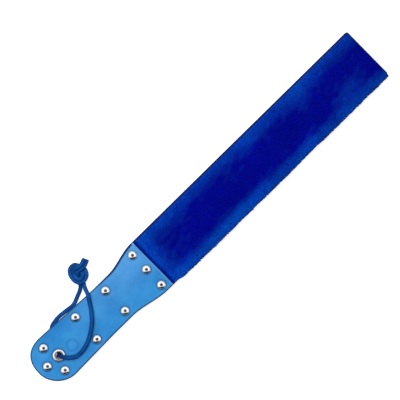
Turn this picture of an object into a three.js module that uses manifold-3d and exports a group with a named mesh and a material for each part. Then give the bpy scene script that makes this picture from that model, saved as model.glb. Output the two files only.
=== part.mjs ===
// A fur-faced leather paddle: a stiff core strap, leather on both sides of the handle, a fur
// facing on both sides of the blade, ten double-cap rivets, and a lace loop through an eyelet.
// Millimetres, +Z up. +X runs from the butt to the blade tip. The paddle lies on its back fur,
// and the origin is at the bottom centre of the paddle without its lace.

import * as THREE from 'three';
import { mergeVertices } from 'three/addons/utils/BufferGeometryUtils.js';
import Module from 'manifold-3d';

const wasm = await Module();
wasm.setup();

// Strap outline, with distances measured from the butt end. It is cut by hand, so its two sides
// differ a little: each has its own half width at the butt and neck, and its own flare.
const LENGTH = 510;
const BUTT_AT = 29;
const BLADE_WIDTH = 66;
const HANDLE_LENGTH = 176;
const TIP_RADIUS = 2.5;
const LEFT_SIDE = {
  sign: 1,
  butt: 29.2,
  buttFullness: 2.5,
  neck: 25.8,
  neckAt: 106,
  flareStart: 131,
  flareEnd: 173,
};
const RIGHT_SIDE = {
  sign: -1,
  butt: 27.9,
  buttFullness: 1.9,
  neck: 26.2,
  neckAt: 91,
  flareStart: 119,
  flareEnd: 167,
};

// Layers, stacked along Z
const CORE_THICKNESS = 4;
const LEATHER_THICKNESS = 2.25;
const FUR_THICKNESS = 7.5;
const FUR_INSET = 0.75;
const FUR_EDGE_ROUND = 2.5;
const SEAM_GAP = 0.3;

// Rivets
const RIVET_CAP_RADIUS = 4.75;
const RIVET_CAP_HEIGHT = 2;
const RIVET_BACK_HEIGHT = 1.5;
const RIVET_POST_RADIUS = 1.5;
const RIVET_BUTT_AT = 12.1;
const RIVET_PAIRS = [
  { at: 23.2, leftMargin: 11.4, rightMargin: 10.6 },
  { at: 72.5, leftMargin: 10, rightMargin: 9.9 },
  { at: 116.9, leftMargin: 10.8, rightMargin: 10 },
  { at: HANDLE_LENGTH - 10.1, leftMargin: 10.4, rightMargin: 9.2 },
];
const RIVET_SOCKET_DEPTH = 1.25;

// Eyelet
const EYELET_AT = 29.8;
const EYELET_HOLE_RADIUS = 3.6;
const EYELET_WALL = 0.6;
const EYELET_FLANGE_RADIUS = 6.95;
const EYELET_FLANGE_HEIGHT = 0.9;
const EYELET_LIP_RADIUS = 5.4;
const EYELET_LIP_HEIGHT = 0.625;
const WASHER_THICKNESS = 1;

// Lace, as drawn from the eyelet's centre; heights are above the floor
const LACE_RADIUS = 1.5;
const LACE_JOINT_AT = 9.9;
const LACE_FRONT_POINTS = [
  [-0.8, 0.35, 10.9],
  [-0.85, 1.2, 12.9],
  [-0.4, 0.6, 15.6],
  [1.6, -2.6, 17.5],
  [5.6, -8.6, 17.7],
  [13.3, -14.4, 17.7],
  [22.2, -16.1, 17.7],
  [33.3, -13.9, 17.7],
  [44.4, -8.3, 17.7],
  [53.2, 0.2, 17.7],
  [61, 10, 17.7],
  [66.8, 19.4, 17.6],
  [70.6, 28, 16.1],
  [73.6, 34.6, 11.2],
  [75.8, 40.2, 7.6],
  [77.4, 46, 6.4],
];
const LACE_BACK_POINTS = [
  [-0.75, -0.55, 8.6],
  [-0.65, -1.35, 6.6],
  [-0.15, -0.4, 3.5],
  [1.5, 3.4, 1.85],
  [4.4, 9.6, 1.8],
  [8.6, 18.4, 1.8],
  [12.6, 25.6, 1.8],
  [17.6, 30, 1.8],
  [27.5, 32.4, 1.8],
  [38.6, 31.6, 1.8],
  [49.6, 30.4, 1.8],
  [59.4, 33.2, 1.9],
  [66.4, 38.4, 2.6],
  [72.6, 46.4, 4.4],
];
const KNOT_AT = [78.7, 51, 5.85];
const KNOT_RADII = [11, 11, 5.5];
const TAIL_LENGTH = 18.4;
const TAIL_WIDTH = 8.6;
const TAIL_HEIGHT = 3.2;
const TAIL_TURN = 0.25;

// Clearances
const CLEARANCE = 0.3;
const LACE_CLEARANCE = 0.35;

// Curve steps
const ROUND_STEPS = 16;
const BUTT_STEPS = 14;
const FLARE_STEPS = 8;
const CORNER_STEPS = 4;

// Heights of the layers, from the floor up
const BACK_LEATHER_BOTTOM = FUR_THICKNESS - LEATHER_THICKNESS;
const CORE_BOTTOM = FUR_THICKNESS;
const CORE_TOP = CORE_BOTTOM + CORE_THICKNESS;
const FRONT_LEATHER_TOP = CORE_TOP + LEATHER_THICKNESS;
const FUR_TOP = CORE_TOP + FUR_THICKNESS;

// Distance from the butt end as an x value
const along = (distance) => distance - LENGTH / 2;

const LEATHER = { color: 0x3b8cd6, roughness: 0.5, metalness: 0 };
const CORE_LEATHER = { color: 0x0d2a5c, roughness: 0.65, metalness: 0 };
const FUR = { color: 0x062c9a, roughness: 0.95, metalness: 0 };
const NICKEL = { color: 0xd9dade, roughness: 0.22, metalness: 1 };
const LACE = { color: 0x0a4c9e, roughness: 0.55, metalness: 0 };

function addMesh(parent, name, geometry, look) {
  const mesh = new THREE.Mesh(geometry, new THREE.MeshStandardMaterial(look));
  mesh.name = name;
  parent.add(mesh);
  return mesh;
}

// ---- Solids from geometry, and back ----

function toSolid(geometry) {
  const bare = geometry.clone();
  bare.deleteAttribute('normal');
  bare.deleteAttribute('uv');
  const merged = mergeVertices(bare, 1e-4);
  return new wasm.Manifold(new wasm.Mesh({
    numProp: 3,
    vertProperties: new Float32Array(merged.attributes.position.array),
    triVerts: new Uint32Array(merged.index.array),
  }));
}

function toGeometry(solid) {
  const mesh = solid.getMesh();
  const geometry = new THREE.BufferGeometry();
  geometry.setAttribute('position', new THREE.BufferAttribute(mesh.vertProperties, 3));
  geometry.setIndex(new THREE.BufferAttribute(mesh.triVerts, 1));
  geometry.computeVertexNormals();
  return geometry;
}

// ---- Outline of the strap ----

// Half the strap's width on one side, at a distance from the butt end: a round butt, a slight
// taper to the neck, then a smooth flare out to the blade.
function halfWidth(distance, side) {
  if (distance < BUTT_AT) {
    const left = 1 - distance / BUTT_AT;
    return side.butt * (1 - left ** side.buttFullness) ** (1 / side.buttFullness);
  }
  const taper = Math.min((distance - BUTT_AT) / (side.neckAt - BUTT_AT), 1);
  const waist = side.butt + (side.neck - side.butt) * taper;
  const rise = THREE.MathUtils.smoothstep(distance, side.flareStart, side.flareEnd);
  return waist + (BLADE_WIDTH / 2 - waist) * rise;
}

// One edge from the butt end forward, up to where the blade's sides run straight
function edgePoints(side) {
  const points = [];
  const power = 2 / side.buttFullness;
  for (let i = 1; i <= BUTT_STEPS; i += 1) {
    const angle = (i / BUTT_STEPS) * Math.PI / 2;
    const distance = BUTT_AT * (1 - Math.max(Math.cos(angle), 0) ** power);
    points.push([distance, side.butt * Math.sin(angle) ** power]);
  }
  for (let i = 0; i <= FLARE_STEPS; i += 1) {
    const distance = side.flareStart + (side.flareEnd - side.flareStart) * i / FLARE_STEPS;
    points.push([distance, halfWidth(distance, side)]);
  }
  points.splice(BUTT_STEPS, 0, [side.neckAt, halfWidth(side.neckAt, side)]);
  return points;
}

// The strap's outline from its butt end to a square end with rounded corners
function strapShape(end, cornerRadius) {
  const half = BLADE_WIDTH / 2;
  const corner = [];
  if (cornerRadius === 0) {
    corner.push([end, half]);
  } else {
    for (let i = 0; i <= CORNER_STEPS; i += 1) {
      const angle = (i / CORNER_STEPS) * Math.PI / 2;
      const distance = end - cornerRadius + cornerRadius * Math.sin(angle);
      corner.push([distance, half - cornerRadius + cornerRadius * Math.cos(angle)]);
    }
  }
  const [left, right] = [LEFT_SIDE, RIGHT_SIDE].map((side) => (
    [...edgePoints(side), ...corner].map(([distance, y]) => (
      new THREE.Vector2(along(distance), side.sign * y)
    ))
  ));
  return new THREE.Shape([new THREE.Vector2(along(0), 0), ...left, ...right.reverse()]);
}

function roundHole(distance, y, radius) {
  const hole = new THREE.Path();
  const points = [];
  for (let i = 0; i < ROUND_STEPS; i += 1) {
    const angle = (i / ROUND_STEPS) * Math.PI * 2;
    points.push(new THREE.Vector2(
      along(distance) + radius * Math.cos(angle),
      y + radius * Math.sin(angle),
    ));
  }
  hole.setFromPoints(points);
  return hole;
}

function plate(shape, bottom, top) {
  const geometry = new THREE.ExtrudeGeometry(shape, { depth: 1, bevelEnabled: false });
  const position = geometry.attributes.position;
  for (let i = 0; i < position.count; i += 1) {
    position.setZ(i, position.getZ(i) > 0.5 ? top : bottom);
  }
  return geometry;
}

// ---- Rivet and eyelet places ----

const rivetPlaces = [[RIVET_BUTT_AT, 0]];
for (const { at, leftMargin, rightMargin } of RIVET_PAIRS) {
  rivetPlaces.push([at, halfWidth(at, LEFT_SIDE) - leftMargin]);
  rivetPlaces.push([at, rightMargin - halfWidth(at, RIGHT_SIDE)]);
}
rivetPlaces.push([RIVET_PAIRS.at(-1).at, 0]);

const EYELET_BARREL_RADIUS = EYELET_HOLE_RADIUS + EYELET_WALL;

function pierce(shape) {
  for (const [distance, y] of rivetPlaces) {
    shape.holes.push(roundHole(distance, y, RIVET_POST_RADIUS + CLEARANCE));
  }
  shape.holes.push(roundHole(EYELET_AT, 0, EYELET_BARREL_RADIUS + CLEARANCE));
  return shape;
}

const part = new THREE.Group();

// ---- Leather layers ----

const core = pierce(strapShape(LENGTH, TIP_RADIUS));
addMesh(part, 'core_strap', plate(core, CORE_BOTTOM, CORE_TOP), CORE_LEATHER);

const handle = pierce(strapShape(HANDLE_LENGTH, 0));
const frontLeather = plate(handle, CORE_TOP, FRONT_LEATHER_TOP);
addMesh(part, 'handle_front_leather', frontLeather, LEATHER);
const backLeather = plate(handle, BACK_LEATHER_BOTTOM, CORE_BOTTOM);
addMesh(part, 'handle_back_leather', backLeather, LEATHER);

// ---- Fur facings: a slab with rounded edges on its outer face only ----

function furSlab(bottom, top, outerSign) {
  const start = along(HANDLE_LENGTH) + SEAM_GAP;
  const end = along(LENGTH) - FUR_INSET;
  const side = BLADE_WIDTH / 2 - FUR_INSET;
  const inner = FUR_EDGE_ROUND;
  const shape = new THREE.Shape([
    new THREE.Vector2(start + inner, -side + inner),
    new THREE.Vector2(end - inner, -side + inner),
    new THREE.Vector2(end - inner, side - inner),
    new THREE.Vector2(start + inner, side - inner),
  ]);
  const cushion = new THREE.ExtrudeGeometry(shape, {
    depth: 2 * (top - bottom - FUR_EDGE_ROUND),
    bevelEnabled: true,
    bevelThickness: FUR_EDGE_ROUND,
    bevelSize: FUR_EDGE_ROUND,
    bevelSegments: 3,
  });
  const position = cushion.attributes.position;
  const height = position.array.filter((value, index) => index % 3 === 2);
  const lowest = Math.min(...height);
  const highest = Math.max(...height);
  const shift = outerSign > 0 ? top - highest : bottom - lowest;
  cushion.translate(0, 0, shift);
  const keep = new THREE.BoxGeometry(LENGTH, 2 * BLADE_WIDTH, 1);
  const corners = keep.attributes.position;
  for (let i = 0; i < corners.count; i += 1) {
    const beyond = outerSign > 0 ? [bottom, top + 5] : [bottom - 5, top];
    corners.setZ(i, corners.getZ(i) > 0 ? beyond[1] : beyond[0]);
    corners.setX(i, corners.getX(i) + along(HANDLE_LENGTH) + LENGTH / 2);
  }
  return toGeometry(toSolid(cushion).intersect(toSolid(keep)));
}

addMesh(part, 'front_fur', furSlab(CORE_TOP, FUR_TOP, 1), FUR);
addMesh(part, 'back_fur', furSlab(0, CORE_BOTTOM, -1), FUR);

// ---- Rivets: a post with a low back cap, and a domed front cap with a socket ----

function lathe(profile) {
  const points = profile.map(([radius, z]) => new THREE.Vector2(radius, z));
  const geometry = new THREE.LatheGeometry(points, ROUND_STEPS);
  geometry.rotateX(Math.PI / 2);
  return geometry;
}

function capProfile(base, height) {
  const profile = [];
  const steps = 4;
  const rimHeight = 0.2 * height;
  for (let i = 0; i <= steps; i += 1) {
    const angle = (i / steps) * Math.PI / 2;
    const z = base + rimHeight + (height - rimHeight) * Math.sin(angle);
    profile.push([RIVET_CAP_RADIUS * Math.cos(angle), z]);
  }
  profile[steps][0] = 0;
  return profile;
}

const socketRadius = RIVET_POST_RADIUS + CLEARANCE;
const socketTop = FRONT_LEATHER_TOP + RIVET_SOCKET_DEPTH;
const capShape = [
  [0, socketTop],
  [socketRadius, socketTop],
  [socketRadius, FRONT_LEATHER_TOP],
  [RIVET_CAP_RADIUS - 0.2, FRONT_LEATHER_TOP],
  ...capProfile(FRONT_LEATHER_TOP, RIVET_CAP_HEIGHT),
];

const postShape = [
  ...capProfile(BACK_LEATHER_BOTTOM, -RIVET_BACK_HEIGHT).reverse(),
  [RIVET_CAP_RADIUS - 0.2, BACK_LEATHER_BOTTOM],
  [RIVET_POST_RADIUS, BACK_LEATHER_BOTTOM],
  [RIVET_POST_RADIUS, socketTop - CLEARANCE],
  [0, socketTop - CLEARANCE],
];

const rivets = new THREE.Group();
part.add(rivets);
rivetPlaces.forEach(([distance, y], index) => {
  const number = String(index + 1).padStart(2, '0');
  const post = addMesh(rivets, `rivet_${number}_post`, lathe(postShape), NICKEL);
  post.position.set(along(distance), y, 0);
  const cap = addMesh(rivets, `rivet_${number}_cap`, lathe(capShape), NICKEL);
  cap.position.set(along(distance), y, 0);
});

// ---- Eyelet: a barrel with a front flange, set over a back washer ----

const eyelet = new THREE.Group();
eyelet.position.set(along(EYELET_AT), 0, 0);
part.add(eyelet);

const washerBottom = BACK_LEATHER_BOTTOM - WASHER_THICKNESS;
const lipBottom = washerBottom - EYELET_LIP_HEIGHT;
const flangeTop = FRONT_LEATHER_TOP + EYELET_FLANGE_HEIGHT;
const flangeMiddle = (EYELET_HOLE_RADIUS + EYELET_FLANGE_RADIUS) / 2;
const barrelShape = [
  [EYELET_HOLE_RADIUS, lipBottom + 0.3],
  [EYELET_HOLE_RADIUS + 0.4, lipBottom],
  [EYELET_LIP_RADIUS - 0.3, lipBottom],
  [EYELET_LIP_RADIUS, lipBottom + 0.3],
  [EYELET_LIP_RADIUS, washerBottom],
  [EYELET_BARREL_RADIUS, washerBottom],
  [EYELET_BARREL_RADIUS, FRONT_LEATHER_TOP],
  [EYELET_FLANGE_RADIUS, FRONT_LEATHER_TOP],
  [EYELET_FLANGE_RADIUS - 0.2, flangeTop - 0.5],
  [flangeMiddle + 0.7, flangeTop],
  [flangeMiddle - 0.7, flangeTop],
  [EYELET_HOLE_RADIUS, flangeTop - 0.5],
  [EYELET_HOLE_RADIUS, lipBottom + 0.3],
];
addMesh(eyelet, 'eyelet_barrel', lathe(barrelShape), NICKEL);

const washerHole = EYELET_BARREL_RADIUS + CLEARANCE;
const washerShape = [
  [washerHole, washerBottom],
  [EYELET_FLANGE_RADIUS - 0.3, washerBottom],
  [EYELET_FLANGE_RADIUS, washerBottom + 0.3],
  [EYELET_FLANGE_RADIUS, BACK_LEATHER_BOTTOM],
  [washerHole, BACK_LEATHER_BOTTOM],
  [washerHole, washerBottom],
];
addMesh(eyelet, 'eyelet_washer', lathe(washerShape), NICKEL);

// ---- Lace loop: two plain runs that meet inside the eyelet, and the knot that joins them ----

function knotSolid(growth) {
  const ball = new THREE.SphereGeometry(1, ROUND_STEPS, ROUND_STEPS / 2);
  ball.scale(KNOT_RADII[0] + growth, KNOT_RADII[1] + growth, KNOT_RADII[2] + growth);
  const tails = new THREE.BoxGeometry(
    TAIL_LENGTH + growth,
    TAIL_WIDTH + 2 * growth,
    TAIL_HEIGHT + 2 * growth,
  );
  tails.translate((TAIL_LENGTH + growth) / 2, 0, -KNOT_RADII[2] / 2);
  tails.rotateZ(TAIL_TURN);
  const solid = toSolid(ball).add(toSolid(tails));
  return solid.translate(KNOT_AT[0], KNOT_AT[1], KNOT_AT[2]);
}

function laceSolid(points, start) {
  const path = new THREE.CatmullRomCurve3(
    [start, ...points].map(([x, y, z]) => new THREE.Vector3(x, y, z)),
    false,
    'centripetal',
  );
  const section = new THREE.Shape();
  for (let i = 0; i < 8; i += 1) {
    const angle = (i + 0.5) / 8 * Math.PI * 2;
    const x = LACE_RADIUS * Math.cos(angle);
    const y = LACE_RADIUS * Math.sin(angle);
    if (i === 0) {
      section.moveTo(x, y);
    } else {
      section.lineTo(x, y);
    }
  }
  const steps = Math.round(path.getLength() / (1.7 * LACE_RADIUS));
  return toSolid(new THREE.ExtrudeGeometry(section, { steps, extrudePath: path }));
}

const lace = new THREE.Group();
lace.position.set(along(EYELET_AT), 0, 0);
part.add(lace);

const knotRoom = knotSolid(LACE_CLEARANCE);
const halfGap = LACE_CLEARANCE / 2;
const frontRun = laceSolid(LACE_FRONT_POINTS, [-0.78, -0.05, LACE_JOINT_AT + halfGap]);
addMesh(lace, 'lace_front', toGeometry(frontRun.subtract(knotRoom)), LACE);
const backRun = laceSolid(LACE_BACK_POINTS, [-0.78, -0.05, LACE_JOINT_AT - halfGap]);
addMesh(lace, 'lace_back', toGeometry(backRun.subtract(knotRoom)), LACE);
addMesh(lace, 'lace_knot', toGeometry(knotSolid(0)), LACE);

export default part;
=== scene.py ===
"""A fur-faced leather paddle with a riveted handle and a knotted lace loop.

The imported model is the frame: +X runs from the butt to the blade's tip, +Y to the left, +Z up.
Everything is in metres.
"""
import math

import bpy
import numpy as np
from mathutils import Matrix, Vector, noise


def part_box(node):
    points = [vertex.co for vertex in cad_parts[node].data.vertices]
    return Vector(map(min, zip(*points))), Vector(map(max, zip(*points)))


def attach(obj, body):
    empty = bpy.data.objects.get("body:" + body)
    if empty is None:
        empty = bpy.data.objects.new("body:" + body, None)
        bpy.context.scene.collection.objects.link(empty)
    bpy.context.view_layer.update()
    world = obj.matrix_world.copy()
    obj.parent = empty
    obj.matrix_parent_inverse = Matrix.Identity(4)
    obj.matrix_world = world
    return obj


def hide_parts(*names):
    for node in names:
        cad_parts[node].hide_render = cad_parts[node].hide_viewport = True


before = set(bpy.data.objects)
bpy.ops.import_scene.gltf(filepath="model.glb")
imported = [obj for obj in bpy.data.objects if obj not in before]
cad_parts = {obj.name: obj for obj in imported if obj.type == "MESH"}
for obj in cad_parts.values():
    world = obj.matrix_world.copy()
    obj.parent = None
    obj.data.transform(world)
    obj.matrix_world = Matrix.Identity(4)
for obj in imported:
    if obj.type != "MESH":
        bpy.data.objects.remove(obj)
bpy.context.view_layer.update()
bpy.ops.object.select_all(action="DESELECT")

# ---- Camera ----
# It looks straight down on the paddle from far off with a long lens. The blade runs up to the
# right, so the camera is turned the other way about the vertical.

CAMERA_HEIGHT = 1.9
SENSOR_WIDTH = 36
VIEW_WIDTH = 0.4436
VIEW_CENTRE = (0.0074, 0.0134)
BLADE_ANGLE = math.radians(44.47)
HANDLE_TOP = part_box("handle_front_leather")[1][2]

bpy.ops.object.camera_add(location=(*VIEW_CENTRE, CAMERA_HEIGHT), rotation=(0, 0, -BLADE_ANGLE))
camera = bpy.context.object
camera.data.sensor_width = SENSOR_WIDTH
camera.data.lens = SENSOR_WIDTH * (CAMERA_HEIGHT - HANDLE_TOP) / VIEW_WIDTH
camera.data.clip_end = 50
bpy.context.scene.camera = camera
bpy.context.scene.view_settings.view_transform = "Standard"

# ---- Floor, light and surroundings ----
# A matt white floor, a large soft light high overhead and a little to the left, and a bright sky.
# The polished metal mirrors other surroundings: a white ceiling with a dark gap straight
# overhead, and a dark wall past the butt and to the right.

FLOOR_SIZE = 12
FLOOR_GREY = 0.5
FLOOR_GLOW = 0.8
KEY_PLACE = Vector((-0.1, 0.7, 1.6))
KEY_SIZE = 1.1
KEY_POWER = 25.5
# Bands of the sky: how high, from 0 at the horizon to 1 straight overhead, and how bright.
SKY_BANDS = ((0.2, 0.45), (0.4, 1.2), (0.90, 1.25), (0.95, 0.2))
MIRRORED_BANDS = ((0.2, 0.4), (0.4, 1), (0.925, 1), (0.955, 0.05))
DARK_WALL = Vector((-0.6, -0.8, 0))
WALL_EDGE = (0.36, 0.48)
WALL_LIGHT = (1.3, 0.03)


def new_material(name):
    """A new material, its node tree and its shader."""
    material = bpy.data.materials.new(name)
    material.use_nodes = True
    return material, material.node_tree, material.node_tree.nodes["Principled BSDF"]


bpy.ops.mesh.primitive_plane_add(size=FLOOR_SIZE, location=(0, 0, 0))
floor = bpy.context.object
floor.name = "studio_floor"
floor_white, tree, shader = new_material("studio_white")
shader.inputs["Base Color"].default_value = (FLOOR_GREY, FLOOR_GREY, FLOOR_GREY, 1)
shader.inputs["Roughness"].default_value = 0.9
shader.inputs["Specular IOR Level"].default_value = 0
shader.inputs["Emission Color"].default_value = (1, 1, 1, 1)
shader.inputs["Emission Strength"].default_value = FLOOR_GLOW
floor.data.materials.append(floor_white)

bpy.ops.object.light_add(type="AREA", location=KEY_PLACE)
key = bpy.context.object
key.name = "key_light"
key.data.size = KEY_SIZE
key.data.energy = KEY_POWER
key.rotation_euler = (-KEY_PLACE).to_track_quat("-Z", "Y").to_euler()
key.visible_glossy = False

world = bpy.data.worlds.new("studio_sky")
bpy.context.scene.world = world
world.use_nodes = True
sky = world.node_tree
sky.nodes.clear()
direction = sky.nodes.new("ShaderNodeTexCoord").outputs["Generated"]
split = sky.nodes.new("ShaderNodeSeparateXYZ")
sky.links.new(direction, split.inputs[0])


def banded_sky(horizon, zenith, bands, blue):
    """Colour by height, from the horizon's to the zenith's, with bands of grey in between."""
    ramp = sky.nodes.new("ShaderNodeValToRGB")
    ramp.color_ramp.elements[0].color = (*horizon, 1)
    ramp.color_ramp.elements[1].color = (*zenith, 1)
    for height, level in bands:
        stop = ramp.color_ramp.elements.new(height)
        stop.color = (level, level, level * blue, 1)
    sky.links.new(split.outputs["Z"], ramp.inputs[0])
    return ramp.outputs[0]


def map_range(tree, value, start, end, low=0.0, high=1.0):
    """Turns a value that runs from start to end into one that runs from low to high."""
    spread = tree.nodes.new("ShaderNodeMapRange")
    spread.inputs["From Min"].default_value = start
    spread.inputs["From Max"].default_value = end
    spread.inputs["To Min"].default_value = low
    spread.inputs["To Max"].default_value = high
    tree.links.new(value, spread.inputs["Value"])
    return spread.outputs["Result"]


def background(colour, strength):
    """A plain sky, its colour and its strength each taken from a socket."""
    part = sky.nodes.new("ShaderNodeBackground")
    sky.links.new(colour, part.inputs["Color"])
    sky.links.new(strength, part.inputs["Strength"])
    return part


lit = background(banded_sky((0.35, 0.35, 0.36), (0.02, 0.02, 0.03), SKY_BANDS, 1.01),
                 map_range(sky, split.outputs["Y"], -0.9, 0.9, 0.3, 1.1))
facing = sky.nodes.new("ShaderNodeVectorMath")
facing.operation = "DOT_PRODUCT"
facing.inputs[1].default_value = DARK_WALL
sky.links.new(direction, facing.inputs[0])
mirrored = background(banded_sky((0.2, 0.2, 0.2), (0.05, 0.05, 0.06), MIRRORED_BANDS, 1),
                      map_range(sky, facing.outputs["Value"], *WALL_EDGE, *WALL_LIGHT))
seen = sky.nodes.new("ShaderNodeBackground")
seen.inputs["Color"].default_value = (1, 1, 1, 1)
ray = sky.nodes.new("ShaderNodeLightPath")


def choose(kind, other, chosen):
    """One sky for rays of one kind, and the other sky for the rest."""
    either = sky.nodes.new("ShaderNodeMixShader")
    sky.links.new(ray.outputs[kind], either.inputs[0])
    sky.links.new(other.outputs[0], either.inputs[1])
    sky.links.new(chosen.outputs[0], either.inputs[2])
    return either


whole_sky = choose("Is Camera Ray", choose("Is Glossy Ray", lit, mirrored), seen)
sky_out = sky.nodes.new("ShaderNodeOutputWorld")
sky.links.new(whole_sky.outputs[0], sky_out.inputs[0])

# ---- Lace loop ----
# One flat leather lace, folded through the eyelet. Its two halves run over and under the handle
# and are tied together in a doubled overhand knot, with two short cut tails.

LACE_WIDTH = 0.0048
LACE_THICKNESS = 0.0026
LACE_STEP = 0.0011
EYELET_SHADE_LENGTH = 0.0085
# The lowest heights of the lace's middle line and of its surface, and the heights at which its
# two halves leave the eyelet.
LACE_REST = 0.0018
FLOOR_GAP = 0.0002
EYELET = Vector((*[(a + b) / 2 for a, b in zip(*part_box("eyelet_barrel"))][:2], 0))
KNOT_CENTRE = EYELET + Vector((0.0787, 0.0510, 0.0058))
# The two strands in the knot: how far each is from the middle line, in its turns and in its
# ends, and how far above or below it.
STRAND_GAP = 0.0020
STRAND_GAP_AT_ENDS = 0.0018
STRAND_LIFT = 0.0008

# The lace's route in millimetres from the eyelet's centre, and the knot's from its own centre.
front_run = [
    (-0.78, -0.05, 10.0), (-0.8, 0.35, 10.9), (-0.85, 1.2, 12.9), (-0.4, 0.6, 15.4),
    (1.6, -2.6, 17.1), (5.5, -8.3, 16.6), (13.0, -13.9, 15.4), (21.8, -14.6, 15.3),
    (32.4, -12.1, 15.3), (42.9, -6.5, 15.3), (52.5, 0.8, 15.3), (60.4, 10.1, 15.3),
    (66.4, 19.1, 15.4), (70.7, 26.1, 15.4), (72.9, 33.0, 11.4),
]
back_run = [
    (-0.78, -0.05, 9.7), (-0.75, -0.55, 8.6), (-0.65, -1.35, 6.6), (-0.15, -0.4, 3.6),
    (1.5, 3.4, 1.9), (4.4, 9.6, 1.8), (8.6, 18.4, 1.8), (12.6, 25.6, 1.8), (17.6, 29.1, 1.8),
    (27.5, 30.7, 1.8), (38.6, 30.0, 1.8), (49.6, 28.9, 1.9), (59.4, 32.4, 2.4),
    (67.6, 36.0, 3.2),
]
knot_turns = [
    (-5.0, -11.4, -1.8), (-2.4, -5.6, -1.8), (1.2, 0.0, 1.6), (3.8, 4.6, -0.4), (2.2, 7.2, -1.6),
    (-2.2, 7.4, -0.8), (-5.4, 4.0, 0.0), (-6.8, -2.2, 1.0), (-5.2, -7.6, 2.2), (-0.4, -9.2, 2.8),
    (4.6, -6.6, 1.4), (6.2, -2.0, -1.6), (2.2, -0.6, -2.8), (-2.2, 0.8, -1.2), (-0.8, 3.2, 1.8),
    (4.2, 2.6, 3.0), (9.0, 1.9, 1.0), (13.0, 3.1, -1.6), (16.8, 4.8, -3.0),
]


def smooth_line(points, step):
    """Even points along a Catmull-Rom curve through the given ones."""
    ends = [points[0] * 2 - points[1]] + points + [points[-1] * 2 - points[-2]]
    fine = []
    for a, b, c, d in zip(ends, ends[1:], ends[2:], ends[3:]):
        for k in range(24):
            t = k / 24
            fine.append(0.5 * (2 * b + (c - a) * t + (2 * a - 5 * b + 4 * c - d) * t * t
                               + (3 * b - a - 3 * c + d) * t ** 3))
    fine.append(points[-1])
    places = np.array([tuple(p) for p in fine])
    run = np.concatenate([[0], np.cumsum(np.linalg.norm(np.diff(places, axis=0), axis=1))])
    count = max(2, round(run[-1] / step))
    marks = np.linspace(0, run[-1], count + 1)
    line = np.column_stack([np.interp(marks, run, places[:, k]) for k in range(3)])
    return line, run[-1]


def clamp(value):
    return min(max(value, 0.0), 1.0)


def flat_lace(name, line, material):
    """Sweeps a flat section with rounded edges along a line, wide side level. The leather is
    darker towards its edges, has painted shade over its first stretch inside the eyelet, where it
    also rubs, and is a little thinner at its cut ends."""
    sides = 16
    end_sizes = (0.82, 0.95, 1.0)
    turn = np.linspace(0, 2 * math.pi, sides, endpoint=False)
    across = np.sign(np.cos(turn)) * np.abs(np.cos(turn)) ** 0.55 * LACE_WIDTH / 2
    through = np.sign(np.sin(turn)) * np.abs(np.sin(turn)) ** 0.7 * LACE_THICKNESS / 2
    tangent = np.gradient(line, axis=0)
    tangent /= np.linalg.norm(tangent, axis=1)[:, None]
    level = np.cross((0, 0, 1), tangent)
    size = np.linalg.norm(level, axis=1)
    first_level = int(np.argmax(size > 0.75))
    for k in range(first_level - 1, -1, -1):
        level[k] = level[k + 1] - tangent[k] * (level[k + 1] @ tangent[k])
    for k in range(first_level, len(line)):
        if size[k] < 0.4:
            level[k] = level[k - 1] - tangent[k] * (level[k - 1] @ tangent[k])
    level /= np.linalg.norm(level, axis=1)[:, None]
    rise = np.cross(tangent, level)
    verts, faces, edge = [], [], []
    for k, centre in enumerate(line):
        end = min(k, len(line) - 1 - k)
        taper = end_sizes[min(end, 2)]
        for a, b in zip(across, through):
            x, y, z = centre + level[k] * a * taper + rise[k] * b * taper
            verts.append((x, y, max(z, FLOOR_GAP)))
            # Painted shade over the lace's first stretch, inside the eyelet, where it also rubs;
            # the leather is also darker towards its edges.
            painted_shading = 1.0 - (k * LACE_STEP - EYELET_SHADE_LENGTH) / EYELET_SHADE_LENGTH
            edge.append(clamp(max((abs(a) / (LACE_WIDTH / 2)) ** 2.2, painted_shading)))
    for k in range(len(line) - 1):
        for s in range(sides):
            t = (s + 1) % sides
            faces.append((k * sides + s, k * sides + t, (k + 1) * sides + t, (k + 1) * sides + s))
    faces.append(tuple(range(sides - 1, -1, -1)))
    top = (len(line) - 1) * sides
    faces.append(tuple(range(top, top + sides)))
    mesh = bpy.data.meshes.new(name)
    mesh.from_pydata(verts, [], faces)
    mesh.attributes.new("burnish_and_shade", "FLOAT", "POINT").data.foreach_set("value", edge)
    mesh.materials.append(material)
    mesh.shade_smooth()
    piece = bpy.data.objects.new(name, mesh)
    bpy.context.collection.objects.link(piece)
    bpy.context.view_layer.objects.active = piece
    piece.select_set(True)
    bpy.ops.object.mode_set(mode="EDIT")
    bpy.ops.mesh.select_all(action="SELECT")
    bpy.ops.mesh.normals_make_consistent(inside=False)
    bpy.ops.object.mode_set(mode="OBJECT")
    piece.select_set(False)
    return piece


def on_piece(tree):
    """Places in the piece's own coordinates."""
    return tree.nodes.new("ShaderNodeTexCoord").outputs["Object"]


def cloudy(tree, scale, detail):
    """Soft noise that stays fixed to the piece."""
    cloud = tree.nodes.new("ShaderNodeTexNoise")
    cloud.inputs["Scale"].default_value = scale
    cloud.inputs["Detail"].default_value = detail
    tree.links.new(on_piece(tree), cloud.inputs["Vector"])
    return cloud.outputs["Fac"]


def painted(tree, name):
    """A value that is painted on the mesh, or 0 where it isn't."""
    paint = tree.nodes.new("ShaderNodeAttribute")
    paint.attribute_name = name
    return paint.outputs["Fac"]


def mix_colours(tree, share, first, second):
    """From the first colour to the second by share. Each colour is three numbers or a socket."""
    blend = tree.nodes.new("ShaderNodeMix")
    blend.data_type = "RGBA"
    tree.links.new(share, blend.inputs["Factor"])
    for name, colour in (("A", first), ("B", second)):
        if isinstance(colour, tuple):
            blend.inputs[name].default_value = (*colour, 1)
        else:
            tree.links.new(colour, blend.inputs[name])
    return blend.outputs["Result"]


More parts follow.
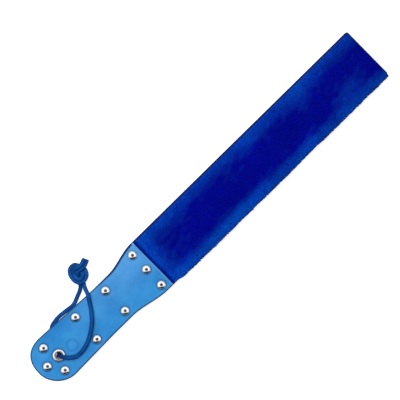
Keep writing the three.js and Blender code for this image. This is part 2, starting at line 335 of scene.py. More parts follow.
def calculate(tree, operation, *values):
    """One sum on values that are each a number or a socket."""
    result = tree.nodes.new("ShaderNodeMath")
    result.operation = operation
    for term, value in zip(result.inputs, values):
        if isinstance(value, float):
            term.default_value = value
        else:
            tree.links.new(value, term)
    return result.outputs[0]


def add_relief(tree, height, strength, depth, sunk=False):
    """Raises or sinks the surface by a pattern, on top of the relief it has already."""
    shader = tree.nodes["Principled BSDF"]
    relief = tree.nodes.new("ShaderNodeBump")
    relief.invert = sunk
    relief.inputs["Strength"].default_value = strength
    relief.inputs["Distance"].default_value = depth
    tree.links.new(height, relief.inputs["Height"])
    if shader.inputs["Normal"].is_linked:
        tree.links.new(shader.inputs["Normal"].links[0].from_socket, relief.inputs["Normal"])
    tree.links.new(relief.outputs["Normal"], shader.inputs["Normal"])


def leather(name, deep, fair, dark, grain_size, grain_height, roughness, mottle_size, shine):
    """Smooth finished leather: cloudy colour with a fine grain, darker on burnished and dyed
    edges and under painted shade, and lighter under painted light."""
    material, tree, shader = new_material(name)
    shader.inputs["Specular IOR Level"].default_value = shine
    mottle = map_range(tree, cloudy(tree, 1 / mottle_size, 4), 0.3, 0.7)
    dyed = mix_colours(tree, mottle, deep, fair)
    burnished_and_shaded = mix_colours(tree, painted(tree, "burnish_and_shade"), dyed, dark)
    painted_light_colour = tuple(min(1, 1.2 * c + 0.12) for c in fair)
    with_painted_light = mix_colours(tree, painted(tree, "painted_light"), burnished_and_shaded, painted_light_colour)
    tree.links.new(with_painted_light, shader.inputs["Base Color"])
    pores = tree.nodes.new("ShaderNodeTexVoronoi")
    pores.feature = "DISTANCE_TO_EDGE"
    pores.inputs["Scale"].default_value = 1 / grain_size
    tree.links.new(on_piece(tree), pores.inputs["Vector"])
    crease = map_range(tree, pores.outputs["Distance"], 0, 0.12)
    fibre = cloudy(tree, 2.5 / grain_size, 3)
    add_relief(tree, calculate(tree, "MULTIPLY_ADD", fibre, 0.6, crease), 0.5, grain_height)
    gloss = map_range(tree, fibre, 0, 1, roughness - 0.06, roughness + 0.08)
    tree.links.new(gloss, shader.inputs["Roughness"])
    return material


lace_leather = leather("lace_leather", deep=(0.0005, 0.038, 0.18), fair=(0.001, 0.074, 0.30),
                       dark=(0.0003, 0.010, 0.06), grain_size=0.0006, grain_height=0.00008,
                       roughness=0.5, mottle_size=0.009, shine=0.1)


def in_metres(points):
    return [EYELET + Vector(p) / 1000 for p in points]


def knot_path(side):
    """The knot's turns for one of the two strands, which lie side by side: -1 or 1."""
    turns = [Vector(p) / 1000 for p in knot_turns]
    moved = []
    for k, point in enumerate(turns):
        ahead = turns[min(k + 1, len(turns) - 1)] - turns[max(k - 1, 0)]
        beside = Vector((0, 0, 1)).cross(ahead).normalized()
        gap = STRAND_GAP if 2 < k < len(turns) - 4 else STRAND_GAP_AT_ENDS
        lift = Vector((0, 0, STRAND_LIFT * side))
        moved.append(KNOT_CENTRE + point + beside * gap * side + lift)
    return moved


front_line, front_length = smooth_line(in_metres(front_run) + knot_path(-1), LACE_STEP)
back_line, back_length = smooth_line(in_metres(back_run) + knot_path(1), LACE_STEP)
for line in (front_line, back_line):
    line[:, 2] = np.maximum(line[:, 2], LACE_REST)
front_lace = flat_lace("front_lace", front_line, lace_leather)
back_lace = flat_lace("back_lace", back_line, lace_leather)
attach(front_lace, "hang_loop")
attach(back_lace, "hang_loop")
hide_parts("lace_front", "lace_knot")
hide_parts("lace_back")

# ---- Core strap ----
# One stiff piece of thick leather runs the whole length, from the round butt to the square tip.
# Its edges are rounded over, burnished and dyed dark.

STRAP_LENGTH = 0.510
BUTT_LENGTH = 0.029
BLADE_HALF = 0.033
HANDLE_LENGTH = 0.176
EDGE_ROUND = 0.0008
EDGE_REACH = 0.0009
# Half widths of the butt and the neck, how full the butt's curve is, and how far from the butt
# the neck is and the flare starts and ends.
LEFT_SIDE = {"butt": 0.0292, "fullness": 2.5, "neck": 0.0258, "neck_at": 0.106,
             "flare_start": 0.131, "flare_end": 0.173}
RIGHT_SIDE = {"butt": 0.0279, "fullness": 1.9, "neck": 0.0262, "neck_at": 0.091,
              "flare_start": 0.119, "flare_end": 0.167}
CORE_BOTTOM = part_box("core_strap")[0][2]
CORE_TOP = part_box("core_strap")[1][2]
BUTT_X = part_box("core_strap")[0][0]


def half_width(distance, side):
    """Half the strap's width on one side, at a distance from the butt end."""
    if distance < BUTT_LENGTH:
        left = 1 - max(distance, 0) / BUTT_LENGTH
        return side["butt"] * (1 - left ** side["fullness"]) ** (1 / side["fullness"])
    taper = min((distance - BUTT_LENGTH) / (side["neck_at"] - BUTT_LENGTH), 1)
    waist = side["butt"] + (side["neck"] - side["butt"]) * taper
    rise = clamp((distance - side["flare_start"]) / (side["flare_end"] - side["flare_start"]))
    return waist + (BLADE_HALF - waist) * rise * rise * (3 - 2 * rise)


def edge_distance(distance, y, end):
    """How far a spot is inside the strap's outline, for a strap cut square at end."""
    outline = LEFT_SIDE if y > 0 else RIGHT_SIDE
    if distance < BUTT_LENGTH:
        back = BUTT_LENGTH - distance
        power = outline["fullness"]
        share = (back / BUTT_LENGTH) ** power + (abs(y) / outline["butt"]) ** power
        side = math.hypot(back, y) * (share ** (-1 / power) - 1)
    else:
        side = half_width(distance, outline) - abs(y)
    return max(0.0, min(side, end - distance))


def copy_of_node(node, name):
    """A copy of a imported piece's mesh, merged, as a new piece of its own."""
    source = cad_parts[node]
    piece = bpy.data.objects.new(name, source.data.copy())
    bpy.context.collection.objects.link(piece)
    bpy.context.view_layer.objects.active = piece
    piece.select_set(True)
    bpy.ops.object.mode_set(mode="EDIT")
    bpy.ops.mesh.select_all(action="SELECT")
    bpy.ops.mesh.remove_doubles(threshold=0.00001)
    bpy.ops.mesh.dissolve_limited(angle_limit=math.radians(1))
    bpy.ops.mesh.select_all(action="DESELECT")
    bpy.ops.object.mode_set(mode="OBJECT")
    return piece


strap = copy_of_node("core_strap", "core_leather_strap")
# Only the level edges along the outline are rounded over.
for edge in strap.data.edges:
    a, b = (strap.data.vertices[v].co for v in edge.vertices)
    flat = abs(a.z - b.z) < 1e-5
    inside = max(edge_distance(p.x - BUTT_X, p.y, STRAP_LENGTH) for p in (a, b))
    edge.select = flat and inside < EDGE_REACH
bpy.ops.object.mode_set(mode="EDIT")
bpy.ops.mesh.select_mode(type="EDGE")
bpy.ops.mesh.bevel(offset=EDGE_ROUND, segments=4)
bpy.ops.mesh.select_mode(type="VERT")
bpy.ops.object.mode_set(mode="OBJECT")
bpy.ops.object.shade_smooth_by_angle(angle=math.radians(35))
strap.select_set(False)
edge_leather = leather("edge_leather", deep=(0.0012, 0.006, 0.045), fair=(0.002, 0.014, 0.085),
                       dark=(0.001, 0.004, 0.03), grain_size=0.0009, grain_height=0.00008,
                       roughness=0.45, mottle_size=0.006, shine=0.12)
strap.data.materials.clear()
strap.data.materials.append(edge_leather)
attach(strap, "paddle")
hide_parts("core_strap")

# ---- Handle leathers ----
# Smooth blue leather covers both faces of the handle. It is laid over the core and pulled down by
# the rivets, so it dips round each of them and puckers a little between the last ones. Light is
# painted on it: paler towards the neck and the left side, and a highlight along its cut end.

# Rows and columns lie close together along the edges, at these distances inside the outline.
EDGE_LINES = (0.0, 0.00012, 0.0003, 0.00055, 0.0009, 0.0014, 0.0021)
MIDDLE_LINES = 56
ROW_STEP = 0.0009
LEATHER_EDGE_ROUND = 0.0009
DENT_DEPTH = 0.00075
DENT_REACH = 0.0034
CAP_RADIUS = 0.00475
FLANGE_RADIUS = 0.00695
EYELET_CUT = 0.0050
WAVE_DEPTH = 0.00022
CRINKLE_DEPTH = 0.00005
PUCKER_DEPTH = 0.00042
PUCKER_LENGTH = 0.0125
PUCKER_MIDDLE = HANDLE_LENGTH - 0.010
# Dark rims: a dyed edge along the outline, widened on the left flare by a painted shadow, and a
# ring round each rivet that is partly grime and partly painted shade where the cap meets the
# leather.
RIM_WIDTH, RIM_FADE = 0.0020, 0.0013
FLARE_SHADOW, FLARE_SHADOW_START, FLARE_SHADOW_LENGTH = 0.0014, 0.11, 0.03
RING_WIDTH, RING_FADE, RING_GRIME_AND_SHADE = 0.0018, 0.0014, 0.7
# Painted light: paler towards the neck and the left side, and a painted highlight in a strip
# along the cut end.
LIGHT_POOL_START, LIGHT_POOL_LENGTH, LIGHT_POOL = 0.055, 0.085, 0.30
HIGHLIGHT_STRIP, HIGHLIGHT_STRENGTH = 0.0021, 0.55
# The stamped double ring: where it is, its rings' radii, half their line's width, its depth.
STAMP_CENTRE = EYELET + Vector((0.0188, -0.0022, 0))
STAMP_RINGS = (0.0070, 0.0052)
STAMP_LINE = 0.0004
STAMP_DEPTH = 0.0003
STAMP_STAIN = (0.008, 0.09, 0.3)


def centre_of(node):
    low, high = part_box(node)
    return Vector((low[0] + high[0], low[1] + high[1], 0)) / 2


rivet_names = ["rivet_%02d" % n for n in range(1, 11)]
rivet_centres = [centre_of(name + "_cap") for name in rivet_names]
pressed = [(centre, CAP_RADIUS) for centre in rivet_centres] + [(EYELET, FLANGE_RADIUS)]


def row_places(end):
    """Distances from the butt for the rows: close together at both ends, even in between."""
    rows = [BUTT_LENGTH * (1 - math.cos(a)) for a in np.linspace(0.045, math.pi / 2, 40)]
    count = round((end - rows[-1]) / ROW_STEP)
    rows += list(np.linspace(rows[-1], end - EDGE_LINES[-1], count))[1:]
    return rows + [end - line for line in EDGE_LINES[-2::-1]]


def column_places(distance):
    """Places across one row, from the right edge to the left one."""
    right, left = (half_width(distance, side) for side in (RIGHT_SIDE, LEFT_SIDE))
    squeeze = min(1, (right + left) / 0.018)
    lower = [line * squeeze - right for line in EDGE_LINES]
    upper = [left - line * squeeze for line in reversed(EDGE_LINES)]
    return lower + list(np.linspace(lower[-1], upper[0], MIDDLE_LINES))[1:-1] + upper


def close_back(piece, base, up, thickness, smooth_angle):
    """Turns a one-sided sheet into a closed one with a flat back at the base."""
    count = len(piece.data.vertices)
    thick = piece.modifiers.new("thickness", "SOLIDIFY")
    thick.thickness = thickness
    thick.offset = -up
    bpy.ops.object.modifier_apply(modifier="thickness")
    for front, back in zip(piece.data.vertices[:count], piece.data.vertices[count:]):
        back.co = (front.co.x, front.co.y, base)
    bpy.ops.object.mode_set(mode="EDIT")
    bpy.ops.mesh.select_all(action="SELECT")
    bpy.ops.mesh.normals_make_consistent(inside=False)
    bpy.ops.object.mode_set(mode="OBJECT")
    bpy.ops.object.shade_smooth_by_angle(angle=math.radians(smooth_angle))
    piece.select_set(False)


def handle_leather(name, base, outer, seed):
    """One leather cover: base is the height it lies on, outer the height of its good side."""
    rows = row_places(HANDLE_LENGTH)
    columns = len(column_places(BUTT_LENGTH))
    bpy.ops.mesh.primitive_grid_add(x_subdivisions=len(rows) - 1, y_subdivisions=columns - 1,
                                    size=1)
    piece = bpy.context.object
    piece.name = piece.data.name = name
    up = 1 if outer > base else -1
    order = sorted(range(len(piece.data.vertices)),
                   key=lambda i: (round(piece.data.vertices[i].co.x, 5),
                                  round(piece.data.vertices[i].co.y, 5)))
    burnish_and_shade = [0.0] * len(order)
    painted_light = [0.0] * len(order)
    for place, index in enumerate(order):
        row, column = divmod(place, columns)
        distance = rows[row]
        to_end = HANDLE_LENGTH - distance
        y = column_places(distance)[column]
        spot = Vector((BUTT_X + distance, y, 0))
        inside = edge_distance(distance, y, HANDLE_LENGTH)
        near = min((spot - centre).length - radius for centre, radius in pressed)
        # The height: rounded off at the edge, dented at the rivets, wavy in between.
        drop = 0.0
        if inside < LEATHER_EDGE_ROUND:
            reach = LEATHER_EDGE_ROUND - inside
            drop = LEATHER_EDGE_ROUND - math.sqrt(LEATHER_EDGE_ROUND ** 2 - reach ** 2)
        dent = DENT_DEPTH * math.exp(-(max(near, 0) / DENT_REACH) ** 2 * 1.4)
        wave = noise.noise(spot * 95 + Vector((seed, 0, 0))) * WAVE_DEPTH
        wave += noise.noise(spot * 320 + Vector((0, seed, 0))) * CRINKLE_DEPTH
        held = math.exp(-((PUCKER_MIDDLE - distance) / PUCKER_LENGTH) ** 2)
        pucker = PUCKER_DEPTH * held * noise.noise(Vector((distance * 55, y * 150, seed)))
        z = abs(outer - base) - drop - dent + (wave + pucker) * min(1, inside / 0.003)
        piece.data.vertices[index].co = (spot.x, y, base + up * z)
        # The colour: dark rims, partly dyed edge and grime and partly painted shadow and shade,
        # and painted light everywhere but on them.
        side = inside if to_end > inside + 1e-6 else 0.01
        # A painted shadow along the left flare widens the dark dyed rim there.
        flare_shadow = clamp((distance - FLARE_SHADOW_START) / FLARE_SHADOW_LENGTH) if y > 0 else 0
        rim_and_shadow = clamp((RIM_WIDTH + FLARE_SHADOW * flare_shadow - side) / RIM_FADE)
        # Dark ring round each rivet: partly grime, partly painted shade where the cap meets the
        # leather.
        ring = clamp((RING_WIDTH - near) / RING_FADE) * RING_GRIME_AND_SHADE
        burnish_and_shade[index] = max(rim_and_shadow, ring)
        # Painted light: paler towards the neck and towards the left side, where the light falls.
        painted_shading = LIGHT_POOL * clamp((distance - LIGHT_POOL_START) / LIGHT_POOL_LENGTH)
        painted_shading = painted_shading * (0.42 + 0.9 * y / BLADE_HALF) + 0.05 * noise.noise(spot * 34)
        # A painted highlight along the cut end.
        strip = clamp(1.5 * (1 - to_end / HIGHLIGHT_STRIP)) * HIGHLIGHT_STRENGTH
        painted_light[index] = max(painted_shading, strip, 0.0) * (1 - rim_and_shadow)
    piece.data.attributes.new("burnish_and_shade", "FLOAT", "POINT").data.foreach_set("value", burnish_and_shade)
    piece.data.attributes.new("painted_light", "FLOAT", "POINT").data.foreach_set("value", painted_light)
    bpy.ops.object.mode_set(mode="EDIT")
    bpy.ops.mesh.select_all(action="DESELECT")
    bpy.ops.object.mode_set(mode="OBJECT")
    for face in piece.data.polygons:
        middle = sum((piece.data.vertices[v].co for v in face.vertices), Vector()) / 4
        face.select = math.hypot(middle.x - EYELET.x, middle.y) < EYELET_CUT
    bpy.ops.object.mode_set(mode="EDIT")
    bpy.ops.mesh.select_mode(type="FACE")
    bpy.ops.mesh.delete(type="FACE")
    bpy.ops.mesh.select_mode(type="VERT")
    bpy.ops.object.mode_set(mode="OBJECT")
    close_back(piece, base, up, abs(outer - base), 40)
    return piece


handle_blue = leather("handle_leather", deep=(0.012, 0.155, 0.42), fair=(0.030, 0.225, 0.52),
                      dark=(0.003, 0.022, 0.09), grain_size=0.0009, grain_height=0.00013,
                      roughness=0.45, mottle_size=0.022, shine=0.16)
# A faint plain double ring is pressed into the front leather beside the eyelet.
tree = handle_blue.node_tree
shader = tree.nodes["Principled BSDF"]
place = on_piece(tree)
level = tree.nodes.new("ShaderNodeVectorMath")
level.operation = "MULTIPLY"
level.inputs[1].default_value = (1, 1, 0)
tree.links.new(place, level.inputs[0])
away = tree.nodes.new("ShaderNodeVectorMath")
away.operation = "DISTANCE"
away.inputs[1].default_value = STAMP_CENTRE
tree.links.new(level.outputs["Vector"], away.inputs[0])
rings = [calculate(tree, "COMPARE", away.outputs["Value"], radius, STAMP_LINE)
         for radius in STAMP_RINGS]
tall = tree.nodes.new("ShaderNodeSeparateXYZ")
tree.links.new(place, tall.inputs[0])
on_front = calculate(tree, "GREATER_THAN", tall.outputs["Z"], CORE_TOP)
stamped = calculate(tree, "MULTIPLY", calculate(tree, "ADD", *rings), on_front)
unstamped = shader.inputs["Base Color"].links[0].from_socket
stain = mix_colours(tree, calculate(tree, "MULTIPLY", stamped, 0.5), unstamped, STAMP_STAIN)
tree.links.new(stain, shader.inputs["Base Color"])
add_relief(tree, stamped, 0.6, STAMP_DEPTH, sunk=True)
front_cover = handle_leather("front_handle_cover", CORE_TOP, HANDLE_TOP, seed=3.0)
back_cover = handle_leather("back_handle_cover", CORE_BOTTOM,
                            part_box("handle_back_leather")[0][2], seed=11.0)
for piece, node in ((front_cover, "handle_front_leather"), (back_cover, "handle_back_leather")):
    piece.data.materials.append(handle_blue)
    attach(piece, "paddle")
    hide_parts(node)

# ---- Rivets ----
# Ten double-cap rivets in polished nickel. Each has a domed front cap with a small rolled rim,
# pressed over a post whose lower cap bears on the back leather.

TURN_STEPS = 40
CAP_LIP = 0.0006
BACK_LIP = 0.0005
POST_RADIUS = 0.0015
POST_REACH = 0.0008
# How far the metal is pressed into the leather, and the heights that it fits between.
SETTLE = 0.0003
FRONT_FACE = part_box("rivet_01_cap")[0][2]
CAP_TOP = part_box("rivet_01_cap")[1][2]
BACK_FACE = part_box("handle_back_leather")[0][2]
BACK_CAP_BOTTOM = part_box("rivet_01_post")[0][2]


def nickel(name, tone, roughness, scratch):
    """Nickel plate with fine wear: tone is its brightness, scratch how deep the wear looks."""
    material, tree, shader = new_material(name)
    shader.inputs["Metallic"].default_value = 1
    wear = cloudy(tree, 900, 5)
    dull = (tone * 0.86, tone * 0.86, tone * 0.87)
    bright = (tone, tone, tone * 0.99)
    tree.links.new(mix_colours(tree, wear, dull, bright), shader.inputs["Base Color"])
    gloss = map_range(tree, wear, 0, 1, roughness - 0.05, roughness + 0.07)
    tree.links.new(gloss, shader.inputs["Roughness"])
    add_relief(tree, wear, scratch, 0.00002)
    return material


def turned(name, profile, material, steps=TURN_STEPS):
    """Spins a profile of (radius, height) about the vertical into a closed piece."""
    mesh = bpy.data.meshes.new(name)
    points = [(radius, 0, height) for radius, height in profile]
    mesh.from_pydata(points, [(k, k + 1) for k in range(len(points) - 1)], [])
    piece = bpy.data.objects.new(name, mesh)
    bpy.context.collection.objects.link(piece)
    bpy.context.view_layer.objects.active = piece
    piece.select_set(True)
    bpy.ops.object.mode_set(mode="EDIT")
    bpy.ops.mesh.select_all(action="SELECT")
    bpy.ops.mesh.spin(steps=steps, angle=2 * math.pi, center=(0, 0, 0), axis=(0, 0, 1))
    bpy.ops.mesh.select_all(action="SELECT")
    bpy.ops.mesh.remove_doubles(threshold=0.000004)
    bpy.ops.mesh.normals_make_consistent(inside=False)
    bpy.ops.object.mode_set(mode="OBJECT")
    bpy.ops.object.shade_smooth_by_angle(angle=math.radians(50))
    piece.data.materials.append(material)
    piece.select_set(False)
    return piece


def dome(base, height, radius, lip):
    """A cap's outside from its centre to its rim: a low dome and a small rolled edge. On a
    cap that faces down, the height and the lip are negative."""
    crown = radius * 0.93
    profile = []
    for a in np.linspace(0, math.pi / 2, 13):
        profile.append((crown * math.sin(a), base + lip + (height - lip) * math.cos(a)))
    for a in np.linspace(0.35 * math.pi, -0.5 * math.pi, 6):
        profile.append((crown + (radius - crown) * math.cos(a),
                        base + lip * 0.5 + lip * 0.5 * math.sin(a)))
    return profile


plate = nickel("polished_nickel", tone=0.86, roughness=0.13, scratch=0.25)
cap_profile = [(0, FRONT_FACE - SETTLE)] + dome(
    FRONT_FACE - SETTLE, CAP_TOP - FRONT_FACE + SETTLE, CAP_RADIUS, CAP_LIP)[::-1]
post_top = FRONT_FACE + POST_REACH
post_profile = dome(BACK_FACE, BACK_CAP_BOTTOM - BACK_FACE, CAP_RADIUS, -BACK_LIP) + [
    (POST_RADIUS, BACK_FACE), (POST_RADIUS, post_top), (0, post_top)]
front_cap = turned("rivet_cap", cap_profile, plate)
back_post = turned("rivet_post", post_profile, plate)
for name, centre in zip(rivet_names, rivet_centres):
    for pattern, part_name in ((front_cap, "_cap"), (back_post, "_post")):
        piece = bpy.data.objects.new(name + "_turned" + part_name, pattern.data.copy())
        piece.data.transform(Matrix.Translation(centre))
        bpy.context.collection.objects.link(piece)
        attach(piece, "paddle")
        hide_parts(name + part_name)
bpy.data.objects.remove(front_cap)
bpy.data.objects.remove(back_post)

# ---- Eyelet ----
# A satin nickel grommet lines the lace hole: its barrel is rolled over into a smooth flange on
# the front, and clenched over a washer on the back.

BARREL_INSIDE = 0.0036
BARREL_OUTSIDE = 0.0042
CREST = 0.0045
CLENCH_RADIUS = 0.0054
WASHER_INSIDE = BARREL_OUTSIDE + 0.0003
EYELET_STEPS = 56
low, high = (p[2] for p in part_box("eyelet_barrel"))
washer_low, washer_high = (p[2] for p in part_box("eyelet_washer"))
washer_top = washer_high + 0.0002

roll = []
for a in np.linspace(0, math.pi, 17):
    reach = FLANGE_RADIUS - CREST if a < math.pi / 2 else CREST - BARREL_INSIDE
    roll.append((CREST + reach * math.cos(a),
                 FRONT_FACE - SETTLE + (high - FRONT_FACE + SETTLE) * math.sin(a)))
clench = [(BARREL_INSIDE, low + 0.0004), (BARREL_INSIDE + 0.0004, low),
          (CLENCH_RADIUS - 0.0005, low), (CLENCH_RADIUS, low + 0.0003),
          (CLENCH_RADIUS, washer_low), (BARREL_OUTSIDE, washer_low)]
barrel_profile = clench + [(BARREL_OUTSIDE, FRONT_FACE - SETTLE)] + roll + [clench[0]]
satin = nickel("satin_nickel", tone=0.9, roughness=0.3, scratch=0.1)
barrel = turned("eyelet_rolled_barrel", barrel_profile, satin, EYELET_STEPS)
ring = [(WASHER_INSIDE, washer_low), (FLANGE_RADIUS - 0.0005, washer_low),
        (FLANGE_RADIUS, washer_low + 0.0005), (FLANGE_RADIUS, washer_top),
        (WASHER_INSIDE, washer_top), (WASHER_INSIDE, washer_low)]
washer = turned("eyelet_back_washer", ring, satin, EYELET_STEPS)
for piece, node in ((barrel, "eyelet_barrel"), (washer, "eyelet_washer")):
    piece.data.transform(Matrix.Translation(EYELET))
    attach(piece, "paddle")
    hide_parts(node)

# ---- Fur facings ----
# A deep, dense, shorn pile on a thin hide faces both sides of the blade. Each facing is a
# crowned bed of underfur with thousands of tapered locks, combed towards the tip and a little
# to the right, so that the lighter flank of the pile shows along the borders.

# The bed of underfur, inside the strap's outline.
FUR_START = HANDLE_LENGTH + 0.0002
FUR_END = STRAP_LENGTH - 0.0008
FUR_SPAN = FUR_END - FUR_START
FUR_MIDDLE = -0.0011
FUR_HALF = 0.0314
BED_HEIGHT = 0.0046
BED_ROUND = 0.006
HIDE_THICKNESS = 0.0006
# The locks, and the borders that their tips are held inside.
LOCKS = 18000
LOCK_POINTS = 7
LOCK_LENGTH = 0.0062
LOCK_WIDTH = 0.00085
ROOT_DEPTH = 0.0009
ROOT_MARGIN = 0.0003
COMB_TURN = 0.35
PILE_TOP = 0.0076
PILE_FLOOR = 0.0002
PILE_LEFT = 0.0300
PILE_RIGHT = 0.0334
PILE_START = 0.0017
PILE_TIP = BUTT_X + STRAP_LENGTH - 0.0022
# By the handle the overhang at the right tapers off, and it is a little ragged all along.
START_TUCK = 0.0022
TUCK_LENGTH = 0.014
RAGGED = 0.0012
# Painted shade in the pile along the borders, and the handle leather's painted shadow on the pile
# by the handle: how wide each band is, and what is left in it of the flank's share and of the
# tone.
BORDER_SHADE_WIDTH, BORDER_SHADE_FLANK, BORDER_SHADE_TONE = 0.0009, 0.35, 0.5
START_SHADOW_WIDTH, START_SHADOW_FLANK, START_SHADOW_TONE = 0.0028, 0.2, 0.4
# Where the pile is brushed over: along, across, how far it reaches both ways, how strong.
BRUSHED = ((0.345, 0.022, 0.014, 0.010, 0.22), (0.417, 0.022, 0.018, 0.011, 0.24),
           (0.462, -0.014, 0.020, 0.011, 0.36), (0.270, -0.026, 0.050, 0.008, 0.35),
           (0.300, 0.006, 0.020, 0.010, 0.08), (0.385, -0.004, 0.016, 0.009, 0.05))


def bed_profile(distance, y):
    """Height of the underfur over its hide, and how it falls to the borders."""
    reach = [clamp(inside / BED_ROUND) for inside in (
        distance - FUR_START, FUR_END - distance, FUR_HALF - abs(y - FUR_MIDDLE))]
    rounds = [math.sqrt(1 - (1 - r) ** 2) for r in reach]
    swell = 1 + 0.10 * noise.noise(Vector((distance * 45, y * 45, 2.0)))
    return BED_HEIGHT * rounds[0] * rounds[1] * rounds[2] * swell


def fur_bed(name, base, up):
    """A crowned sheet with its rows drawn together at the borders, closed by a flat back."""
    bpy.ops.mesh.primitive_grid_add(x_subdivisions=150, y_subdivisions=44, size=1)
    piece = bpy.context.object
    piece.name = piece.data.name = name
    for vertex in piece.data.vertices:
        across = FUR_MIDDLE + math.sin(vertex.co.y * math.pi) * FUR_HALF
        along = FUR_START + FUR_SPAN * (0.5 + 0.5 * math.sin(vertex.co.x * math.pi) * 0.35
                                        + vertex.co.x * 0.65)
        height = max(bed_profile(along, across), HIDE_THICKNESS)
        vertex.co = (BUTT_X + along, across, base + up * height)
    close_back(piece, base, up, HIDE_THICKNESS, 60)
    return piece


def flank_share(distance, y):
    """How much of the pile's lighter flank shows: most at the borders and by the handle."""
    start = math.exp(-(max(distance - FUR_START, 0) / 0.017) ** 1.3)
    left = math.exp(-(max(FUR_HALF + FUR_MIDDLE - y, 0) / 0.0100) ** 1.5)
    right = math.exp(-(max(FUR_HALF - FUR_MIDDLE + y, 0) / 0.0078) ** 1.5)
    share = 1 - (1 - 0.74 * start) * (1 - 0.56 * left) * (1 - 0.86 * right)
    for along, across, reach, depth, strength in BRUSHED:
        slant = (distance - along) - (y - across) * 0.6
        share += strength * math.exp(-(slant / reach) ** 2 - ((y - across) / depth) ** 2)
    patch = noise.noise(Vector((distance * 20 + 5, y * 34, 7.0)))
    streak = noise.noise(Vector((distance * 80 + y * 60, y * 190 - distance * 90, 3.0)))
    return clamp(share - 0.05 + 0.16 * max(patch, 0) + 0.14 * streak)


def bed_normal(distance, y):
    """Which way the underfur faces, taken from its height on both sides of a spot."""
    step = 0.0004
    slope_x = (bed_profile(distance + step, y) - bed_profile(distance - step, y)) / 2 / step
    slope_y = (bed_profile(distance, y + step) - bed_profile(distance, y - step)) / 2 / step
    return Vector((-slope_x, -slope_y, 1)).normalized()


def comb_at(distance, y):
    """Which way the pile is combed: towards the tip and a little right, in loose swirls."""
    swirl = noise.noise(Vector((distance * 22, y * 30, 9.0))) * 1.3
    swirl += noise.noise(Vector((distance * 90, y * 90, 4.0))) * 0.5
    return Vector((math.cos(swirl - COMB_TURN), math.sin(swirl - COMB_TURN), 0))


def hold_in(point, distance, highest, ragged, hold):
    """Moves a lock's point back over the blade and under the top of the pile."""
    point.z = min(point.z, highest)
    past_left = point.y - PILE_LEFT
    if past_left > 0:
        point.y -= past_left * 0.9
    tucked = max(0, 1 - (distance - FUR_START) / TUCK_LENGTH)
    past_right = START_TUCK * tucked - PILE_RIGHT - ragged - point.y
    if past_right > 0:
        point.y += past_right * min(1, hold + 0.6 * tucked)
    past_tip = point.x - PILE_TIP
    if past_tip > 0:
        point.x -= past_tip * 0.88
    point.x = max(point.x, BUTT_X + FUR_START + PILE_START)
    point.z = max(point.z, PILE_FLOOR)


def lay_out(mesh, rows, columns):
    """Gives every lock its own small place on the piece's map, from root to tip."""
    corner = np.empty(len(mesh.loops), np.int32)
    mesh.loops.foreach_get("vertex_index", corner)
    row, column = np.divmod(corner // LOCK_POINTS, columns)
    point = corner % LOCK_POINTS
    along = np.array([0, 0, 0, 0.5, 0.5, 0.5, 1])[point]
    beside = np.array([0, 0.5, 1, 0, 0.5, 1, 0.5])[point]
    places = np.column_stack([(column + 0.06 + 0.88 * along) / columns,
                              (row + 0.1 + 0.8 * beside) / rows])
    mesh.uv_layers.new(name="OFBake").data.foreach_set("uv", places.astype(np.float32).ravel())


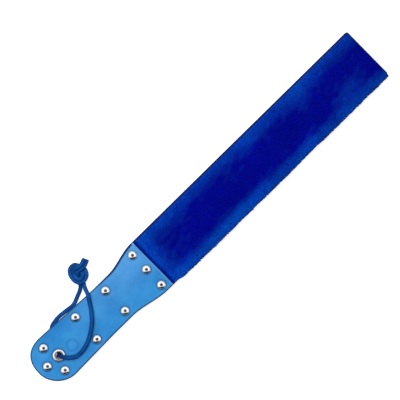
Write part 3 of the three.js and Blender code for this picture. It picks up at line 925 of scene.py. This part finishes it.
def pile(name, base, up, seed, count):
    """Locks of fur: three-sided tapering spikes that stand on the bed and lean with the comb."""
    draw = np.random.default_rng(seed)
    columns = int(math.sqrt(count * (2 * FUR_HALF + 0.008) / (FUR_SPAN + 0.008)))
    rows = count // columns
    verts, faces, tones = [], [], []
    around = [(math.cos(a), math.sin(a)) for a in (0, 2.094, 4.189)]
    for number in range(rows * columns):
        row, column = divmod(number, columns)
        u = (row + draw.random()) / rows
        v = (column + draw.random()) / columns * 2 - 1
        drawn_in = abs(v) ** 3 * 0.0018
        y = FUR_HALF * v + (drawn_in if v < 0 else -drawn_in) * -0.35
        y = FUR_MIDDLE + min(max(y, -FUR_HALF + ROOT_MARGIN), FUR_HALF - ROOT_MARGIN)
        distance = FUR_START + ROOT_MARGIN + (FUR_SPAN - 2 * ROOT_MARGIN) * u
        normal = bed_normal(distance, y)
        comb = comb_at(distance, y)
        stray = Vector(draw.normal(0, 0.13, 3))
        lean = (normal * 0.85 + comb * 0.75 + stray).normalized()
        clump = noise.noise(Vector((distance * 240, y * 240, 1.0)))
        length = LOCK_LENGTH * (0.86 + 0.24 * draw.random() + 0.14 * clump)
        root = Vector((BUTT_X + distance, y, bed_profile(distance, y) - ROOT_DEPTH))
        root.z = max(root.z, PILE_FLOOR)
        middle = root + (lean * 0.55 + normal * 0.45).normalized() * length * 0.5
        tip = middle + (lean + comb * 0.25).normalized() * length * 0.5
        highest = PILE_TOP + 0.0006 * clump if up > 0 else base - 0.0001
        ragged = RAGGED * noise.noise(Vector((distance * 75, 5.0, up)))
        hold_in(middle, distance, highest, ragged, 0.65)
        hold_in(tip, distance, highest, ragged, 0.4)
        side = lean.orthogonal().normalized()
        other = lean.cross(side)
        width = LOCK_WIDTH * (0.8 + 0.5 * draw.random())
        start = len(verts)
        for centre, size in ((root, 1.0), (middle, 0.8)):
            for c, s in around:
                spot = centre + (side * c + other * s) * width * size
                lift = max(spot.z, 0.0001)
                if up < 0:
                    lift = min(lift, base - 0.0001)
                verts.append((spot.x, spot.y, base + up * lift))
        verts.append((tip.x, tip.y, base + up * tip.z))
        for k in range(3):
            n = (k + 1) % 3
            faces.append((start + k, start + n, start + 3 + n, start + 3 + k))
            faces.append((start + 3 + k, start + 3 + n, start + 6))
        faces.append((start + 2, start + 1, start))
        flank = flank_share(distance, y)
        tone = clamp(0.55 + 0.4 * clump + 0.16 * draw.normal())
        # Painted shade: the locks along the borders are darker.
        if min(FUR_HALF - abs(y - FUR_MIDDLE), FUR_END - distance) < BORDER_SHADE_WIDTH:
            flank *= BORDER_SHADE_FLANK
            tone *= BORDER_SHADE_TONE
        # Painted shadow of the handle leather's end falling on the first locks.
        if distance - FUR_START < START_SHADOW_WIDTH:
            flank *= START_SHADOW_FLANK
            tone *= START_SHADOW_TONE
        for height in (0.0, 0.0, 0.0, 0.6, 0.6, 0.6, 1.0):
            tones.extend((flank, tone, height, 1))
    mesh = bpy.data.meshes.new(name)
    if up < 0:
        faces = [face[::-1] for face in faces]
    mesh.from_pydata(verts, [], faces)
    mesh.attributes.new("pile", "FLOAT_COLOR", "POINT").data.foreach_set("color", tones)
    lay_out(mesh, rows, columns)
    mesh.shade_smooth()
    piece = bpy.data.objects.new(name, mesh)
    bpy.context.collection.objects.link(piece)
    return piece


def fur(name, deep, flank, shaded_underfur):
    """Dyed fur: deep blue over the pile and lighter on its flank, with painted shade towards the
    roots and on the underfur, near black. The locks carry three painted values: the flank's
    share, the lock's tone and the height up it."""
    material, tree, shader = new_material(name)
    shader.inputs["Roughness"].default_value = 0.62
    shader.inputs["Specular IOR Level"].default_value = 0.02
    shader.inputs["Sheen Weight"].default_value = 0.12
    shader.inputs["Sheen Roughness"].default_value = 0.45
    shader.inputs["Sheen Tint"].default_value = (0.05, 0.25, 1, 1)
    paint = tree.nodes.new("ShaderNodeAttribute")
    paint.attribute_name = "pile"
    parts = tree.nodes.new("ShaderNodeSeparateColor")
    tree.links.new(paint.outputs["Color"], parts.inputs["Color"])
    lowered = calculate(tree, "SUBTRACT", parts.outputs["Red"], 0.14)
    share = calculate(tree, "MULTIPLY_ADD", cloudy(tree, 70, 4), 0.22, lowered)
    share.node.use_clamp = True
    body = mix_colours(tree, share, deep, flank)
    # Painted shade: darker down each lock towards its roots, and the underfur's colour where it
    # is deepest.
    root_shade = map_range(tree, parts.outputs["Blue"], 0, 1, 0.32, 1)
    by_tone = map_range(tree, parts.outputs["Green"], 0, 1, 0.78, 1)
    root_shade_and_tone = calculate(tree, "MULTIPLY", root_shade, by_tone)
    tree.links.new(mix_colours(tree, root_shade_and_tone, shaded_underfur, body), shader.inputs["Base Color"])
    return material


fur_blue = fur("blue_fur", deep=(0.0005, 0.0004, 0.355), flank=(0.002, 0.133, 0.79),
               shaded_underfur=(0.0005, 0.002, 0.11))
front_bed = fur_bed("front_fur_bed", CORE_TOP, 1)
back_bed = fur_bed("back_fur_bed", CORE_BOTTOM, -1)
for bed, node in ((front_bed, "front_fur"), (back_bed, "back_fur")):
    bed.data.materials.append(fur_blue)
    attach(bed, "paddle")
    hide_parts(node)
for name, base, up, seed in (("front_pile_a", CORE_TOP, 1, 21), ("front_pile_b", CORE_TOP, 1, 22),
                             ("back_pile", CORE_BOTTOM, -1, 23)):
    locks = pile(name, base, up, seed, LOCKS)
    locks.data.materials.append(fur_blue)
    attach(locks, "paddle")
